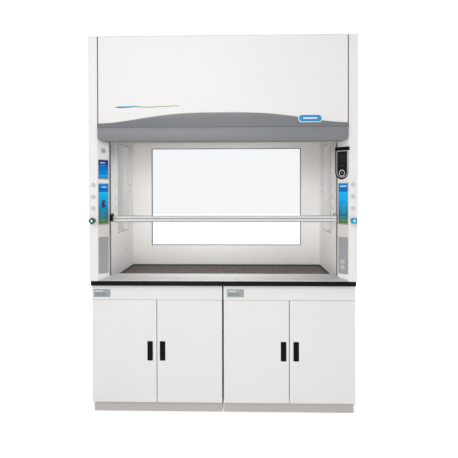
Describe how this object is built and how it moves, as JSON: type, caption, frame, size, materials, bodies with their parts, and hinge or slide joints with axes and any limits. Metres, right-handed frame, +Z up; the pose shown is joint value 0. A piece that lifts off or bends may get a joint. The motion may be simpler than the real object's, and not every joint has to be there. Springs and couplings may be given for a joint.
{
  "type": "fume hood",
  "caption": "Filtered laboratory fume hood with a sliding sash and glass walls, standing on two base cabinets with doors.",
  "frame": {"origin": "on the floor, under the centre of the overall box", "axes": "+Z up, the sash and doors face -Y, +X to the user's right"},
  "size_m": [1.829, 0.863, 2.606],
  "materials": {
    "white_powder_coat": "satin",
    "chamber_lining": "satin",
    "moulded_grey": "satin",
    "black_resin": "satin",
    "clear_glass": "gloss",
    "white_aluminium": "satin",
    "aluminium": "satin",
    "black_plastic": "satin",
    "button_plastic": "satin",
    "bright_steel": "satin",
    "cast_weight": "matte",
    "filter_media": "matte",
    "fan_plastic": "satin",
    "lamp_diffuser": "satin",
    "outlet_plate": "satin",
    "green_knob": "gloss",
    "blue_knob": "gloss"
  },
  "bodies": {
    "frame": {"airfoil_sill": "white_powder_coat", "base_cabinet_left": "white_powder_coat", "base_cabinet_right": "white_powder_coat", "cabinet_shelf_left": "white_powder_coat", "cabinet_shelf_right": "white_powder_coat", "ceiling_light": "lamp_diffuser", "ceiling_panel": "chamber_lining", "chain_loop_left": "bright_steel", "chain_loop_right": "bright_steel", "corner_post_left": "white_powder_coat", "corner_post_right": "white_powder_coat", "fan_deck": "bright_steel", "filter_cassette_left": "filter_media", "filter_cassette_middle": "filter_media", "filter_cassette_right": "filter_media", "front_panel": "white_powder_coat", "header_fascia": "moulded_grey", "monitor_housing": "black_plastic", "outlet_plate_left": "outlet_plate", "outlet_plate_right": "outlet_plate", "rear_liner": "chamber_lining", "rear_panel": "white_powder_coat", "rear_window": "clear_glass", "sash_bearings_left": "bright_steel", "sash_bearings_right": "bright_steel", "sash_track_left": "black_plastic", "sash_track_right": "black_plastic", "side_liner_left": "chamber_lining", "side_liner_right": "chamber_lining", "side_panel_left": "white_powder_coat", "side_panel_right": "white_powder_coat", "side_window_left": "clear_glass", "side_window_right": "clear_glass", "top_cover": "white_powder_coat", "worktop": "black_resin"},
    "sash": {"sash_glass": "clear_glass", "sash_handle": "white_aluminium", "sash_top_rail": "aluminium", "sash_end_block_left": "black_plastic", "sash_end_block_right": "black_plastic"},
    "counterweight_left": {"counterweight_left": "cast_weight"},
    "counterweight_right": {"counterweight_right": "cast_weight"},
    "sash_shaft": {"sash_shaft": "bright_steel"},
    "idler_left": {"idler_left": "bright_steel"},
    "idler_right": {"idler_right": "bright_steel"},
    "outer_door_left": {"outer_door_left": "white_powder_coat", "outer_door_handle_left": "black_plastic"},
    "outer_door_right": {"outer_door_right": "white_powder_coat", "outer_door_handle_right": "black_plastic"},
    "inner_door_left": {"inner_door_left": "white_powder_coat", "inner_door_handle_left": "black_plastic"},
    "inner_door_right": {"inner_door_right": "white_powder_coat", "inner_door_handle_right": "black_plastic"},
    "fan_impeller_left": {"fan_impeller_left": "fan_plastic"},
    "fan_impeller_middle": {"fan_impeller_middle": "fan_plastic"},
    "fan_impeller_right": {"fan_impeller_right": "fan_plastic"},
    "monitor_button": {"monitor_button": "button_plastic"},
    "light_switch_button": {"light_switch_button": "button_plastic"},
    "valve_knob_left": {"valve_knob_left": "green_knob"},
    "valve_knob_right": {"valve_knob_right": "blue_knob"}
  },
  "joints": [
    {"name": "sash_slide", "type": "slide", "parent": "frame", "child": "sash", "axis": [0, 0, 1], "range_m": [-0.359, 0.307]},
    {"name": "counterweight_left_slide", "type": "slide", "parent": "frame", "child": "counterweight_left", "axis": [0, 0, 1], "range_m": [-0.31, 0.36]},
    {"name": "counterweight_right_slide", "type": "slide", "parent": "frame", "child": "counterweight_right", "axis": [0, 0, 1], "range_m": [-0.31, 0.36]},
    {"name": "sash_shaft_spin", "type": "hinge", "parent": "frame", "child": "sash_shaft", "pos_m": [0, -0.2635, 2.566], "axis": [1, 0, 0], "range_deg": [-600, 700]},
    {"name": "idler_left_spin", "type": "hinge", "parent": "frame", "child": "idler_left", "pos_m": [-0.819, -0.2635, 1.6], "axis": [1, 0, 0], "range_deg": [-600, 700]},
    {"name": "idler_right_spin", "type": "hinge", "parent": "frame", "child": "idler_right", "pos_m": [0.819, -0.2635, 1.6], "axis": [1, 0, 0], "range_deg": [-600, 700]},
    {"name": "outer_door_left_hinge", "type": "hinge", "parent": "frame", "child": "outer_door_left", "pos_m": [-0.9085, -0.3335, 0.44], "axis": [0, 0, -1], "range_deg": [0, 110]},
    {"name": "inner_door_left_hinge", "type": "hinge", "parent": "frame", "child": "inner_door_left", "pos_m": [-0.0065, -0.3335, 0.44], "axis": [0, 0, 1], "range_deg": [0, 90]},
    {"name": "outer_door_right_hinge", "type": "hinge", "parent": "frame", "child": "outer_door_right", "pos_m": [0.9085, -0.3335, 0.44], "axis": [0, 0, 1], "range_deg": [0, 110]},
    {"name": "inner_door_right_hinge", "type": "hinge", "parent": "frame", "child": "inner_door_right", "pos_m": [0.0065, -0.3335, 0.44], "axis": [0, 0, -1], "range_deg": [0, 90]},
    {"name": "fan_left_spin", "type": "hinge", "parent": "frame", "child": "fan_impeller_left", "pos_m": [-0.52, 0.1065, 2.302], "axis": [0, 0, 1], "continuous": true},
    {"name": "fan_middle_spin", "type": "hinge", "parent": "frame", "child": "fan_impeller_middle", "pos_m": [0, 0.1065, 2.302], "axis": [0, 0, 1], "continuous": true},
    {"name": "fan_right_spin", "type": "hinge", "parent": "frame", "child": "fan_impeller_right", "pos_m": [0.52, 0.1065, 2.302], "axis": [0, 0, 1], "continuous": true},
    {"name": "valve_left_turn", "type": "hinge", "parent": "frame", "child": "valve_knob_left", "pos_m": [-0.88, -0.3735, 1.3485], "axis": [0, -1, 0], "range_deg": [0, 270]},
    {"name": "valve_right_turn", "type": "hinge", "parent": "frame", "child": "valve_knob_right", "pos_m": [0.88, -0.3735, 1.3485], "axis": [0, -1, 0], "range_deg": [0, 270]},
    {"name": "monitor_button_push", "type": "slide", "parent": "frame", "child": "monitor_button", "axis": [0.7014, 0.7127, 0], "range_m": [0, 0.002], "stiffness_N_per_m": 300},
    {"name": "light_switch_push", "type": "slide", "parent": "frame", "child": "light_switch_button", "axis": [-0.7014, 0.7127, 0], "range_m": [0, 0.002], "stiffness_N_per_m": 300}
  ],
  "couplings": [
    {"joint": "counterweight_left_slide", "follows": "sash_slide", "ratio": -1},
    {"joint": "counterweight_right_slide", "follows": "sash_slide", "ratio": -1},
    {"joint": "sash_shaft_spin", "follows": "sash_slide", "rad_per_m": -33.333},
    {"joint": "idler_left_spin", "follows": "sash_slide", "rad_per_m": -33.333},
    {"joint": "idler_right_spin", "follows": "sash_slide", "rad_per_m": -33.333}
  ]
}
